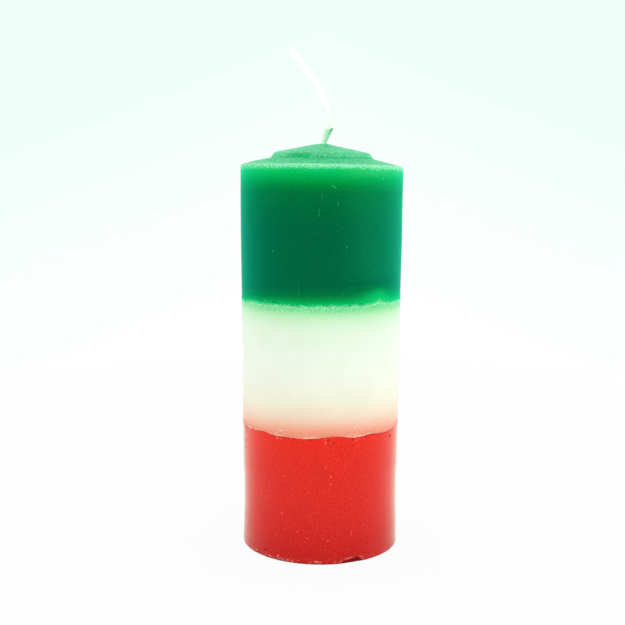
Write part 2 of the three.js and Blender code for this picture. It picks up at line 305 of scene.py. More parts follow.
def srgb(red, green, blue):
    """A colour as it is seen on a screen, from 0 to 255, as the linear values that a shader takes."""
    shares = [channel / 255 for channel in (red, green, blue)]
    return tuple(s / 12.92 if s <= 0.04045 else ((s + 0.055) / 1.055) ** 2.4 for s in shares)


def size_setting(name, description, default):
    """A length of the candle that a user can change."""
    return FloatProperty(
        name=name, description=description, default=default, min=0.0, subtype="DISTANCE", unit="LENGTH"
    )


def colour_setting(name, description, red, green, blue):
    """A colour of the candle that a user can pick."""
    return FloatVectorProperty(
        name=name,
        description=description,
        default=srgb(red, green, blue),
        size=3,
        min=0.0,
        max=1.0,
        subtype="COLOR",
    )


def power_setting(name, description, default):
    """The power of a lamp."""
    return FloatProperty(
        name=name, description=description, default=default, min=0.0, subtype="POWER", unit="POWER"
    )


class CandleSizes(bpy.types.PropertyGroup):
    """Sizes that the whole candle follows."""

    rim_radius: size_setting("Rim radius", "From the axis to the wall at the rim", CROWN_BOX[1].x)
    nose_height: size_setting("Wax height", "From the foot to the nose round the wick", CROWN_BOX[1].z)
    lower_seam: size_setting("Lower seam", "Height at which the red and the white pour meet", 42.8 * MM)
    upper_seam: size_setting("Upper seam", "Height at which the white and the green pour meet", 86.3 * MM)
    crumbling: FloatProperty(
        name="Crumbling",
        description="How rough the beads at the seams are",
        default=1.0,
        min=0.0,
        max=2.0,
        subtype="FACTOR",
    )


class CandleColours(bpy.types.PropertyGroup):
    """Colours of the wax and the wick."""

    green: colour_setting("Green wax", "Deep green in the middle of the green wall", 0, 97, 57)
    # The green glow is painted light, for light that comes through the wax; green bloom also paints the
    # highlight along the rim.
    green_painted_glow: colour_setting("Green glow", "Green wax where light comes through it", 0, 190, 92)
    green_bloom: colour_setting("Green bloom", "Bloom and scuffs on green wax", 150, 240, 188)
    white: colour_setting("White wax", "Undyed wax half-way up", 240, 254, 236)
    white_green: colour_setting("Green stain", "White wax that the green pour stained", 104, 224, 142)
    white_red: colour_setting("Red stain", "White wax that the red pour stained", 249, 152, 124)
    red: colour_setting("Red wax", "Red in the middle of the red wall", 224, 24, 14)
    red_top: colour_setting("Red under the seam", "Red wax just under the white", 238, 27, 1)
    # Red at the foot is painted shade.
    red_foot: colour_setting("Red at the foot", "Red wax where it stands in its own shade", 202, 3, 0)
    red_bloom: colour_setting("Red bloom", "Bloom and scuffs on red wax", 244, 128, 112)
    cotton: colour_setting("Cotton", "The primed wick", 255, 255, 254)


class CandleStudio(bpy.types.PropertyGroup):
    """Light and backdrop."""

    room_light: FloatProperty(
        name="Room light",
        description="Even light from all round",
        default=0.88,
        min=0.0,
    )
    key_power: power_setting("Key light", "Power of the softbox in front, to the right", 1.55)
    top_power: power_setting("Top light", "Power of the softbox over the crown", 0.8)
    side_power: power_setting("Side lights", "Power of each of the two strips behind the candle", 1.1)
    wick_power: power_setting("Wick light", "Power of the narrow lamp that lifts the wick", 0.001)
    backdrop: colour_setting("Backdrop", "The pale mint at the top of the backdrop", 237, 254, 249)


def ease(value, low, high):
    """0 below low, 1 above high, and a smooth step between them."""
    share = np.clip((value - low) / (high - low), 0, 1)
    return share * share * (3 - 2 * share)


def bell(value, spread):
    """1 at nothing, falling off to either side."""
    return np.exp(-((value / spread) ** 2))


def away(angle, at):
    """Degrees from at to angle, the short way round."""
    return (angle - at + 180) % 360 - 180


def lattice(cell, seed):
    """A repeatable random number from -1 to 1 for each whole-numbered point."""
    key = cell[..., 0] * 374761393 + cell[..., 1] * 668265263 + cell[..., 2] * 1442695041 + seed * 974634777
    key = ((key ^ (key >> 13)) * 1274126177) & 0x7FFFFFFF
    return ((key ^ (key >> 16)) & 0xFFFF) / 32767.5 - 1


def grain(points, size, seed):
    """Smooth noise from -1 to 1 at points, with lumps about size across."""
    scaled = points / size
    cell = np.floor(scaled).astype(np.int64)
    share = scaled - cell
    share = share * share * (3 - 2 * share)
    total = np.zeros(points.shape[:-1])
    for corner in np.ndindex(2, 2, 2):
        weight = np.where(np.array(corner) == 1, share, 1 - share).prod(axis=-1)
        total += weight * lattice(cell + np.array(corner), seed)
    return total


class Form:
    """The candle's shape in millimetres, worked out from the sizes in the sidebar."""

    def __init__(self, sizes):
        self.rim_radius = sizes.rim_radius / MM
        self.nose = sizes.nose_height / MM
        self.lower = sizes.lower_seam / MM
        self.upper = sizes.upper_seam / MM
        self.crumbling = sizes.crumbling
        self.rim = self.nose - NOSE_RISE - CONE_RISE - STEP_RISE - SLOPE_RISE

    def wall(self, height):
        """The wall's radius at each height, eased from one station to the next."""
        radius = np.full(np.shape(height), self.rim_radius - WALL_DRAWS[0][1], float)
        for (low, draw), (high, next_draw) in zip(WALL_DRAWS, WALL_DRAWS[1:]):
            radius += (draw - next_draw) * ease(height, low, high)
        return radius

    def ripple(self, angle, humps):
        """How far a seam leaves its level at each angle."""
        waves = np.sin(np.radians(5 * angle)) + np.sin(np.radians(11 * angle + 40))
        humped = sum(rise * bell(away(angle, at), spread) for at, rise, spread in humps)
        return humped + SEAM_RIPPLE / 2 * waves

    def ragged(self, angle, seed):
        """The seam's torn edge: small steps on top of its waves."""
        turn = np.radians(angle)
        ring = np.stack([np.sin(turn), np.cos(turn), 0 * turn], axis=-1) * self.rim_radius
        return self.crumbling * (0.14 * grain(ring, 1.6, seed) + 0.15 * grain(ring, 0.6, seed + 1))

    def rise(self, angle, radius, height):
        """How far the real pours lifted or sank each point of the plain turned candle."""
        outward = np.minimum(1, radius / self.rim_radius) ** 2
        total = 0
        for seam, humps, seed in ((self.upper, UPPER_HUMPS, 11), (self.lower, LOWER_HUMPS, 21)):
            near = np.clip(1 - np.abs(height - seam) / SEAM_REACH, 0, 1)
            total = total + near * outward * self.ripple(angle, humps)
            total = total + near**6 * outward**8 * self.ragged(angle, seed)
        lean = math.tan(math.radians(CROWN_LEAN)) * ease(height, self.upper + SEAM_REACH, self.rim)
        return total - lean * radius * np.sin(np.radians(angle))

    def bead(self, over):
        """How proud of the wall a pour's lower edge is, over the seam."""
        return BEAD_PROUD * bell(over - 0.45, 0.4) - GROOVE_DEPTH * np.exp(-over / 0.09)

    def shoulder(self, under):
        """How the wall turns in under a seam."""
        return -GROOVE_DEPTH * np.exp(-under / 0.2)

    def bowl(self, seam):
        """The face where two pours meet, from the groove in to the wick."""
        edge = self.wall(seam) - GROOVE_DEPTH
        radius = edge + (MOUTH_RADIUS - edge) * np.array([0, 0.03, 0.08, 0.18, 0.38, 0.66, 1])
        dish = SINK_DEPTH * (1 - (radius / edge) ** 2)
        meniscus = MENISCUS_RISE * (1 - np.exp((radius - edge) / MENISCUS_WIDTH))
        return np.stack([radius, seam + dish + meniscus], axis=-1)

    def crown(self):
        """The crown's outline from under the rim in to the wick."""
        step_foot = self.rim + SLOPE_RISE
        corners = [
            (self.rim_radius, self.rim - 4 * RIM_ROUND),
            (self.rim_radius, self.rim),
            (STEP_TOP_RADIUS + STEP_RUN, step_foot),
            (STEP_TOP_RADIUS, step_foot + STEP_RISE),
            (NOSE_RADIUS, self.nose - NOSE_RISE),
            (MOUTH_RADIUS, self.nose),
            (MOUTH_RADIUS, self.nose - MOUTH_DEPTH),
        ]
        rounds = (RIM_ROUND, STEP_ROUND, STEP_ROUND, STEP_ROUND, NOSE_ROUND)
        outline = filled(rounded(corners, rounds), MIDDLING)
        return outline[outline[:, 1] > self.rim - 2 * RIM_ROUND]

    def well(self):
        """The sink in the foot, from the wick out to the edge of the top-up."""
        edge = WELL_RADIUS * math.sqrt(1 - TOP_UP_RECESS / WELL_DEPTH)
        radius = np.linspace(MOUTH_RADIUS, edge, 8)
        return np.stack([radius, WELL_DEPTH * (1 - (radius / WELL_RADIUS) ** 2)], axis=-1)

    def wick_line(self):
        """The wick's centre line, from its cut end in the foot to its free tip."""
        cut_end = TOP_UP_RECESS + TOP_UP_DISH - WICK_STUB
        heights = (cut_end, 0.5 * self.nose, 0.97 * self.nose, self.nose)
        inside = [(WICK_DRIFT * z / self.nose, 0, z) for z in heights]
        bends = [(x, y, self.nose + over) for x, y, over in WICK_BENDS]
        return curve_through(np.array(inside + bends, float))


def curve_through(points):
    """A centripetal Catmull-Rom curve through points, as closely spaced points."""
    knots = np.vstack([2 * points[0] - points[1], points, 2 * points[-1] - points[-2]])
    line = []
    for four in zip(knots, knots[1:], knots[2:], knots[3:]):
        times = np.cumsum([0] + [math.sqrt(np.linalg.norm(b - a)) for a, b in zip(four, four[1:])])
        for time in np.linspace(times[1], times[2], 60, endpoint=False):
            line.append(neville(four, times, time))
    return np.array(line + [points[-1]])


def neville(four, times, time):
    """The point at a time on the curve through four timed points, by repeated mixing."""
    def mix(low, high, a, b):
        """Two points mixed by how far the time is between theirs."""
        return (a * (times[high] - time) + b * (time - times[low])) / (times[high] - times[low])

    first, middle, last = (mix(i, i + 1, four[i], four[i + 1]) for i in range(3))
    return mix(1, 2, mix(0, 2, first, middle), mix(1, 3, middle, last))


def rounded(corners, sizes):
    """A line whose inner corners are cut by curves that start and end a size away."""
    points = [np.array(corners[0], float)]
    for i, size in enumerate(sizes, start=1):
        before, corner, after = (np.array(corners[i + step], float) for step in (-1, 0, 1))
        start = corner + (before - corner) * size / np.linalg.norm(before - corner)
        end = corner + (after - corner) * size / np.linalg.norm(after - corner)
        for share in np.linspace(0, 1, 6):
            points.append((1 - share) ** 2 * start + 2 * share * (1 - share) * corner + share**2 * end)
    points.append(np.array(corners[-1], float))
    return points


def filled(points, spacing):
    """The same line with more points, none further apart than the spacing."""
    line = [points[0]]
    for start, end in zip(points, points[1:]):
        count = max(1, math.ceil(np.linalg.norm(end - start) / spacing))
        line += [start + (end - start) * i / count for i in range(1, count + 1)]
    return np.array(line)


def rows(low, *stretches):
    """Heights from low up through stretches, each given as its end and its spacing."""
    heights = [low]
    for end, spacing in stretches:
        count = max(1, round((end - heights[-1]) / spacing))
        heights += list(np.linspace(heights[-1], end, count + 1)[1:])
    return np.array(heights)


def followed(heights, marks):
    """The same heights with more of them across each mark, so that the mark has an edge."""
    extra = [height + share * high for _, height, _, high, *_ in marks for share in (-1.25, -0.5, 0.5, 1.25)]
    inside = [height for height in extra if heights[0] < height < heights[-1]]
    kept = []
    for height in np.sort(np.concatenate([heights, inside])):
        if not kept or height - kept[-1] > 0.07:
            kept.append(height)
    kept[-1] = heights[-1]
    return np.array(kept)


def on_wall(form, heights, offset):
    """Points of the wall at heights, moved out by an offset."""
    return np.stack([form.wall(heights) + offset, heights], axis=-1)


def columns():
    """Angles all the way round, closer together at the front."""
    front = np.linspace(-FRONT_EDGE, FRONT_EDGE, FRONT_STEPS, endpoint=False)
    back = np.linspace(FRONT_EDGE, 360 - FRONT_EDGE, BACK_STEPS, endpoint=False)
    return np.concatenate([front, back])[:, None]


class Cast:
    """A turned body of wax: a closed outline taken round the axis, as points and angles on a grid."""

    def __init__(self, form, outline):
        self.form = form
        self.angle = columns() + 0 * outline[:, 0]
        self.radius = 0 * self.angle + outline[:, 0]
        self.height = 0 * self.angle + outline[:, 1]
        along = np.roll(outline, -1, axis=0) - np.roll(outline, 1, axis=0)
        along /= np.maximum(np.linalg.norm(along, axis=1, keepdims=True), 1e-9)
        self.out = along[:, 1]
        self.up = -along[:, 0]
        self.push = 0 * self.angle
        self.pale = 0 * self.angle
        self.dark = 0 * self.angle
        self.depth = self.height.copy()

    def places(self):
        """Where the points are before any roughness, for noise to be read at."""
        turn = np.radians(self.angle)
        return np.stack([self.radius * np.sin(turn), -self.radius * np.cos(turn), self.height], axis=-1)

    def skin(self, thick):
        """1 on the wall, and 0 on the faces that meet other pieces."""
        return self.radius > self.form.wall(self.height) - thick

    def near(self, at, wide):
        """1 at an angle, falling off to either side."""
        return bell(away(self.angle, at), wide)

    def patches(self, spots):
        """1 near each of some angles, falling off to either side."""
        return np.clip(sum(self.near(at, wide) for at, wide in spots), 0, 1)

    def whiten(self, amount):
        """Makes the wax at least so pale."""
        self.pale = np.maximum(self.pale, amount)

    def darken(self, amount):
        """Makes the wax at least so dark."""
        self.dark = np.maximum(self.dark, amount)

    def swell(self):
        """Lets the wall follow the mould's unevenness."""
        self.push += SWELL_HEIGHT * grain(self.places(), SWELL_SIZE, 33)

    def mark(self, at, height, wide, high, tone, push=0.0, tilt=0):
        """A small dent or bump, pale if its tone is above 0 and dark if it is below; the dark tone is painted
        shade in the dent.
        """
        across = np.radians(away(self.angle, at)) * self.form.rim_radius
        over = self.height - height
        lean = math.radians(tilt)
        along = (across * math.cos(lean) + over * math.sin(lean)) / wide
        beside = (over * math.cos(lean) - across * math.sin(lean)) / high
        spot = 1 - ease(np.hypot(along, beside), 0.5, 1.25)
        self.push += push * spot
        self.whiten(max(tone, 0) * spot)
        self.darken(max(-tone, 0) * spot)

    def mesh(self, name):
        """The mesh, with what its material reads at each point."""
        radius = np.maximum(self.radius + self.push * self.out, 0.2)
        height = self.height + self.push * self.up + self.form.rise(self.angle, self.radius, self.height)
        turn = np.radians(self.angle)
        inner = 1 - np.clip((self.radius - MOUTH_RADIUS) / (NOSE_RADIUS - MOUTH_RADIUS), 0, 1)
        drift = WICK_DRIFT * self.height / self.form.nose * inner
        points = np.stack([radius * np.sin(turn) + drift, -radius * np.cos(turn), height], axis=-1)
        return grid_mesh(name, points, depth=self.depth, pale=self.pale, dark=self.dark)


def grid_mesh(name, points, capped=False, **layers):
    """A mesh from a grid of points in millimetres, which wraps both ways or is capped at its two ends."""
    index = np.arange(points.shape[0] * points.shape[1]).reshape(points.shape[:2])
    right = np.roll(index, -1, axis=0)
    quads = np.stack([index, right, np.roll(right, -1, axis=1), np.roll(index, -1, axis=1)], axis=-1)
    faces = (quads[:, :-1] if capped else quads).reshape(-1, 4).tolist()
    if capped:
        faces += [index[::-1, 0].tolist(), index[:, -1].tolist()]
    mesh = bpy.data.meshes.new(name)
    mesh.from_pydata((points.reshape(-1, 3) * MM).tolist(), [], faces)
    mesh.shade_smooth()
    for label, values in layers.items():
        layer = mesh.attributes.new(label, "FLOAT", "POINT")
        layer.data.foreach_set("value", values.astype(np.float32).ravel())
    return mesh


def add_piece(name, mesh, material, node_name):
    """Puts a piece in the scene, riding on the candle, in place of the plain node that it stands for."""
    piece = bpy.data.objects.new(name, mesh)
    bpy.context.scene.collection.objects.link(piece)
    mesh.materials.append(material)
    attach(piece, "root")
    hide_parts(node_name)
    return piece


def add_node(tree, kind, inputs=(), **settings):
    """Adds a node, sets it up, and fills its inputs with values or with other nodes' outputs."""
    made = tree.nodes.new(kind)
    for name, value in settings.items():
        setattr(made, name, value)
    for name, value in dict(inputs).items():
        if isinstance(value, bpy.types.NodeSocket):
            tree.links.new(value, made.inputs[name])
        else:
            made.inputs[name].default_value = value
    return made


def sum_of(tree, operation, first, second, clamp=False):
    """One sum on two values."""
    inputs = {0: first, 1: second}
    return add_node(tree, "ShaderNodeMath", inputs, operation=operation, use_clamp=clamp).outputs[0]


def spread(tree, value, low, high, start=0.0, end=1.0):
    """A value's share of the way from low to high, kept between start and end."""
    inputs = {"Value": value, "From Min": low, "From Max": high, "To Min": start, "To Max": end}
    return add_node(tree, "ShaderNodeMapRange", inputs).outputs[0]


def mixed(tree, factor, first, second, blend="MIX"):
    """Two colours mixed by a factor."""
    mix = add_node(tree, "ShaderNodeMix", data_type="RGBA", blend_type=blend, clamp_result=True)
    for socket, value in zip((mix.inputs[0], mix.inputs[6], mix.inputs[7]), (factor, first, second)):
        if isinstance(value, bpy.types.NodeSocket):
            tree.links.new(value, socket)
        else:
            socket.default_value = value if socket.type == "VALUE" else (*value, 1)
    return mix.outputs[2]


def colour_ramp(tree, factor, stops):
    """A ramp over places from 0 to 1, each with its linear colour."""
    ramp = add_node(tree, "ShaderNodeValToRGB", {"Fac": factor})
    elements = ramp.color_ramp.elements
    while len(elements) < len(stops):
        elements.new(0.5)
    for element, (place, colour) in zip(elements, stops):
        element.position = place
        element.color = (*colour, 1)
    return ramp.outputs["Color"]


def attribute(tree, name):
    """What the mesh holds at each point under a name."""
    return add_node(tree, "ShaderNodeAttribute", attribute_name=name).outputs["Fac"]


def depth_ramp(tree, stops):
    """A colour for each depth in the pour, from stops in millimetres, lowest first."""
    low, high = stops[0][0], stops[-1][0]
    share = spread(tree, attribute(tree, "depth"), low, high)
    return colour_ramp(tree, share, [((z - low) / (high - low), colour) for z, colour in stops])


def object_place(tree, scale):
    """Places on the object, scaled so that one unit is 1 / scale metres."""
    place = add_node(tree, "ShaderNodeTexCoord").outputs["Object"]
    return add_node(tree, "ShaderNodeMapping", {"Vector": place, "Scale": (scale, scale, scale)}).outputs[0]


def noise(tree, size, detail=2.0):
    """Noise in the material about 0.5, with lumps of a size in millimetres."""
    inputs = {"Vector": object_place(tree, 1 / (size * MM)), "Scale": 1.0, "Detail": detail}
    return add_node(tree, "ShaderNodeTexNoise", inputs).outputs["Fac"]


def specks(tree, spacing, size, strength):
    """Round specks up to a size in millimetres, scattered at about a spacing."""
    inputs = {"Vector": object_place(tree, 1 / (spacing * MM)), "Scale": 1.0}
    distance = add_node(tree, "ShaderNodeTexVoronoi", inputs).outputs["Distance"]
    return spread(tree, distance, size / spacing / 2, size / spacing / 4, 0, strength)


def worn(tree, name, grains, contrast, thin=(0.0, 0.01)):
    """How far a kind of wear, with the painted light or shade that shares its layer, covers: what the mesh
    holds, broken up by grains where it is partial.
    """
    amount = attribute(tree, name)
    partly = sum_of(tree, "MULTIPLY", amount, sum_of(tree, "SUBTRACT", 1.0, amount))
    partly = sum_of(tree, "MULTIPLY", partly, spread(tree, amount, thin[0], thin[1]))
    shaken = sum_of(tree, "MULTIPLY", partly, spread(tree, grains, 0.3, 0.7, -contrast, contrast))
    return sum_of(tree, "ADD", amount, shaken, True)


def cleared(owner):
    """The emptied node tree of a material or a world."""
    owner.use_nodes = True
    owner.node_tree.nodes.clear()
    return owner.node_tree


def new_material(name):
    """An empty material with its shader and output."""
    material = bpy.data.materials.new(name)
    tree = cleared(material)
    shader = add_node(tree, "ShaderNodeBsdfPrincipled")
    output = add_node(tree, "ShaderNodeOutputMaterial")
    tree.links.new(shader.outputs["BSDF"], output.inputs["Surface"])
    return material, tree, shader


def roughen(tree, shader, height, strength, distance):
    """Small bumps, as high as a distance in millimetres."""
    inputs = {"Height": height, "Strength": strength, "Distance": distance * MM}
    bump = add_node(tree, "ShaderNodeBump", inputs)
    tree.links.new(bump.outputs["Normal"], shader.inputs["Normal"])


def set_finish(shader, gloss, sheen, haze=0.0, light=(0.3, 1.2)):
    """Gloss, edge light as weight, roughness and tint, haze, and the share and depth of light let in."""
    values = {
        "IOR": WAX_IOR,
        "Specular IOR Level": gloss,
        "Sheen Weight": sheen[0],
        "Sheen Roughness": sheen[1],
        "Sheen Tint": (*sheen[2], 1),
        "Coat Weight": haze,
        "Coat Roughness": HAZE_ROUGHNESS,
        "Coat IOR": HAZE_IOR,
        "Subsurface Weight": light[0],
        "Subsurface Radius": (1.0, 1.0, 1.0),
        "Subsurface Scale": light[1] * MM,
    }
    for name, value in values.items():
        shader.inputs[name].default_value = value


def wax_material(name, ramps, grits, polish):
    """Wax: colours by depth in the pour, mottled, with bloom, pits and dust, and with painted light and
    shade.

    The ramps are for plain wax, for bloom and painted highlights, and for pits and painted shade. The grits
    are how much the brightness varies from grain to grain on plain wax and where bloom, pits, painted light
    or painted shade cover it, and how dusty the wax is.
    """
    wax, bloom, pit_and_shade = ramps
    plain_grit, worn_grit, dusty = grits
    material, tree, shader = new_material(name)
    fine, cloud = noise(tree, WAX_GRAIN, 3.0), noise(tree, WAX_CLOUD)
    pale = depth_ramp(tree, bloom)
    film = spread(tree, fine, 0.45, 0.75, 0, 2 * dusty)
    dust = sum_of(tree, "ADD", film, specks(tree, SPECK_SPACING, SPECK_SIZE, 4 * dusty))
    bloom_and_painted_light = worn(tree, "pale", noise(tree, 0.5, 3.0), 1.3, thin=(0.06, 0.15))
    pitted_and_shaded = worn(tree, "dark", noise(tree, 0.45, 3.0), 2.0)
    colour = mixed(tree, dust, depth_ramp(tree, wax), pale)
    colour = mixed(tree, bloom_and_painted_light, colour, pale)
    colour = mixed(tree, pitted_and_shaded, colour, depth_ramp(tree, pit_and_shade))
    grit = spread(tree, sum_of(tree, "MAXIMUM", bloom_and_painted_light, pitted_and_shaded), 0, 0.3, plain_grit, worn_grit)
    grit = sum_of(tree, "MULTIPLY", grit, spread(tree, fine, 0.25, 0.75, -1, 1))
    shade = sum_of(tree, "ADD", grit, spread(tree, cloud, 0.25, 0.75, 0.98, 1.02))
    tree.links.new(mixed(tree, 1.0, colour, shade, "MULTIPLY"), shader.inputs["Base Color"])
    tree.links.new(spread(tree, bloom_and_painted_light, 0, 1, polish, BLOOM_ROUGHNESS), shader.inputs["Roughness"])
    height = sum_of(tree, "ADD", noise(tree, 0.35, 4.0), sum_of(tree, "MULTIPLY", bloom_and_painted_light, 0.6))
    roughen(tree, shader, height, 0.3, WAX_BUMPS)
    return material, shader


def green_wax(form, colours):
    """Green wax with a painted glow, standing in for light that comes through it at the seam and under the
    rim.
    """
    seam, rim = form.upper, form.rim
    core = colours.green
    # Painted glow: the wax is brighter near the seam and under the rim; the core is the wax's own colour.
    wax = [
        (seam + 0.3, srgb(10, 204, 114)),
        (seam + 0.9, colours.green_painted_glow),
        (seam + 2.0, srgb(0, 152, 72)),
        (seam + 3.6, srgb(0, 118, 58)),
        (seam + 6.5, core),
        (rim - 20, core),
        (rim - 14, srgb(0, 103, 55)),
        (rim - 8.5, srgb(0, 112, 52)),
        (rim - 6.2, srgb(0, 137, 56)),
        (rim - 3.8, srgb(0, 172, 75)),
        (rim - 1.2, srgb(0, 204, 104)),
        (rim, srgb(0, 206, 110)),
    ]
    bloom = [
        (seam + 1, srgb(140, 244, 182)),
        (seam + 4, srgb(36, 205, 128)),
        (rim - 4, srgb(36, 210, 130)),
        (rim - 1.5, colours.green_bloom),
    ]
    pit_and_shade = [(seam, srgb(0, 140, 70)), (rim, srgb(0, 110, 56))]
    material, shader = wax_material("green_wax", (wax, bloom, pit_and_shade), grits=(0.14, 0.5, 0.02), polish=0.42)
    set_finish(shader, gloss=0.0, sheen=(0.72, 0.5, (0.0, 1.0, 0.66)), haze=0.2)
    return material


def frosted_green_wax(form, colours):
    """The green wax of the crown, under a grainy frost that whitens it where it is seen edge on."""
    rim = form.rim
    # The plain wax carries on the wall's painted glow under the rim, and the frost's colour also paints the
    # highlight along the rim.
    wax = [(rim - 1.2, srgb(0, 204, 104)), (rim - 0.4, srgb(8, 198, 112)), (rim + 0.7, srgb(12, 186, 108))]
    frost = colours.green_bloom
    bloom = [(rim - 1.2, frost), (rim + 0.4, frost), (rim + 1.5, srgb(116, 219, 166))]
    pit_and_shade = [(rim - 1, srgb(0, 120, 60)), (rim, srgb(8, 150, 84))]
    ramps = (wax, bloom, pit_and_shade)
    material, shader = wax_material("frosted_green_wax", ramps, grits=(0.3, 0.55, 0.02), polish=0.6)
    set_finish(shader, gloss=0.0, sheen=(0.4, 0.3, (0.72, 1.0, 0.88)))
    return material


def white_wax(form, colours):
    """Undyed wax, stained by the pours above and below it."""
    low, high = form.lower, form.upper
    wax = [
        (low + 0.3, srgb(250, 146, 116)),
        (low + 1.8, colours.white_red),
        (low + 3.3, srgb(249, 177, 147)),
        (low + 5.0, srgb(248, 204, 175)),
        (low + 7.5, srgb(246, 227, 201)),
        (low + 11.5, srgb(245, 243, 218)),
        (low + 17, srgb(244, 251, 231)),
        (low + 23, srgb(242, 254, 234)),
        (high - 16, colours.white),
        (high - 9, srgb(231, 252, 225)),
        (high - 6.2, srgb(220, 250, 216)),
        (high - 4.3, srgb(205, 246, 202)),
        (high - 3.2, srgb(190, 243, 190)),
        (high - 2.2, srgb(164, 236, 174)),
        (high - 1.4, srgb(138, 230, 158)),
        (high - 0.4, colours.white_green),
    ]
    bloom = [
        (low + 1, srgb(255, 206, 186)),
        (low + 6, srgb(255, 240, 222)),
        (high - 6, srgb(240, 255, 240)),
        (high - 2, srgb(178, 255, 205)),
    ]
    pit_and_shade = [(low + 1, srgb(206, 96, 66)), (low + 6, srgb(230, 190, 160)), (high - 2, srgb(64, 190, 104))]
    material, shader = wax_material("white_wax", (wax, bloom, pit_and_shade), grits=(0.02, 0.36, 0.01), polish=0.42)
    set_finish(shader, gloss=0.3, sheen=(0.25, 0.45, (1.0, 1.0, 1.0)))
    return material


def red_wax(form, colours):
    """Red wax, brighter under the white and darker at the foot, where the darkening is painted shade."""
    wax = [
        # Painted shade: the wax darkens towards the foot.
        (0, srgb(203, 16, 7)),
        (3.0, colours.red_foot),
        (9.0, srgb(213, 13, 6)),
        (20, colours.red),
        (form.lower - 8, srgb(230, 24, 10)),
        (form.lower - 1, colours.red_top),
    ]
    bloom = [(0, srgb(255, 168, 152)), (2.5, colours.red_bloom), (form.lower, srgb(255, 136, 104))]
    pit_and_shade = [(2, srgb(128, 6, 2)), (form.lower - 4, srgb(128, 2, 0))]
    material, shader = wax_material("red_wax", (wax, bloom, pit_and_shade), grits=(0.12, 0.16, 0.08), polish=0.32)
    set_finish(shader, gloss=0.2, sheen=(1.0, 0.32, (1.0, 1.0, 0.76)), haze=1.0)
    return material


def coat_wax():
    """A thin film of green wax: nearly white where it is thinnest, green at the torn lip."""
    wax = [
        (0, srgb(226, 252, 232)),
        (0.38, srgb(208, 248, 218)),
        (0.56, srgb(160, 234, 184)),
        (1, srgb(138, 222, 164)),
    ]
    bloom = [(0, srgb(238, 255, 242)), (1, srgb(196, 244, 214))]
    pit_and_shade = [(0, srgb(160, 220, 178)), (1, srgb(84, 164, 108))]
    ramps = (wax, bloom, pit_and_shade)
    material, shader = wax_material("pale_green_wax", ramps, grits=(0.05, 0.15, 0.02), polish=0.42)
    set_finish(shader, gloss=0.3, sheen=(0.3, 0.45, (0.9, 1.0, 0.94)), light=(0.0, 1.0))
    return material


def primed_cotton(colours):
    """Bleached cotton strands in a thin skin of hard wax, with a little painted shade in the gaps between
    them.
    """
    material, tree, shader = new_material("primed_cotton")
    cotton = colours.cotton
    # Painted shade in the gaps between the strands.
    shadow = tuple(0.985 * channel for channel in cotton)
    colour = mixed(tree, spread(tree, attribute(tree, "depth"), 0, 0.4), shadow, cotton)
    tree.links.new(colour, shader.inputs["Base Color"])
    roughen(tree, shader, noise(tree, 0.16, 3.0), 0.08, COTTON_BUMPS)
    shader.inputs["Roughness"].default_value = 0.6
    set_finish(shader, gloss=0.5, sheen=(0.0, 0.5, (1.0, 1.0, 1.0)), light=(0.0, 1.0))
    return material


def green_tier(form):
    """The green pour: bead, wall, rim and the stepped crown."""
    seam, rim = form.upper, form.rim
    wall = rows(
        seam,
        (seam + 0.9, VERY_FINE),
        (seam + 3.6, FINE),
        (rim - 4, COARSE),
        (rim - 2.1 * RIM_ROUND, FINE),
    )
    wall = followed(wall, GREEN_MARKS)
    cast = Cast(form, np.concatenate([
        on_wall(form, wall, form.bead(wall - seam)),
        form.crown(),
        form.bowl(seam)[::-1][:-1],
    ]))
    places = cast.places()
    lumps, crumbs = grain(places, 0.7, 31), grain(places, 0.4, 32)
    over = cast.height - seam
    low = cast.height < rim - FROST_START
    top = (cast.height > rim - 3) & (cast.up > -0.2)
    crown = top * ease(cast.height, rim - 0.7, rim + 0.1)
    cast.swell()
    cast.push += form.crumbling * low * bell(over - 0.35, 0.7) * (0.07 * lumps + 0.07 * crumbs)
    cast.push += crown * (0.05 * grain(places, 1.1, 34) + 0.04 * crumbs)
    crusty = crown * cast.near(*CRUSTY_RIM) * ease(cast.radius, 17, 21)
    cast.push += crusty * 0.5 * np.maximum(grain(places, 0.8, 36) + 0.4 * crumbs, -0.2)
    cast.push *= cast.skin(2) | top
    for mark in GREEN_MARKS:
        cast.mark(*mark)
    # Painted glow: its height over the seam changes round the wall.
    hump = cast.near(*GLOW_CUT)
    stretch = 1 + 0.6 * (cast.near(*GLOW_LIFT) - hump) * (1 - ease(over, 3, 9))
    cast.depth += low * (over * stretch - over)
    frost_on_crown(cast, crown, crusty)
    torn = 0.2 + 0.25 * grain(places, 1.3, 35)
    ledge = (1 - ease(over, torn, torn + 0.4 + 0.4 * hump)) * low
    crust = ease(grain(places, 0.55, 40), 0, 0.5)
    cast.whiten((0.24 + 0.45 * crust) * ledge)
    # Painted shade just over the seam, darkest in the hollows between crumbs.
    cast.darken((0.1 + 0.35 * ease(-crumbs - lumps, 0.2, 0.9)) * bell(over - 0.7, 0.5) * low)
    # Painted light: the wall is whitened a little on its right, where more light falls on it.
    haze = ease(cast.angle, 6, 36) * (1 - ease(cast.angle, 90, 150)) * ease(over, 5, 12) * low
    cast.whiten(0.08 * haze)
    return cast


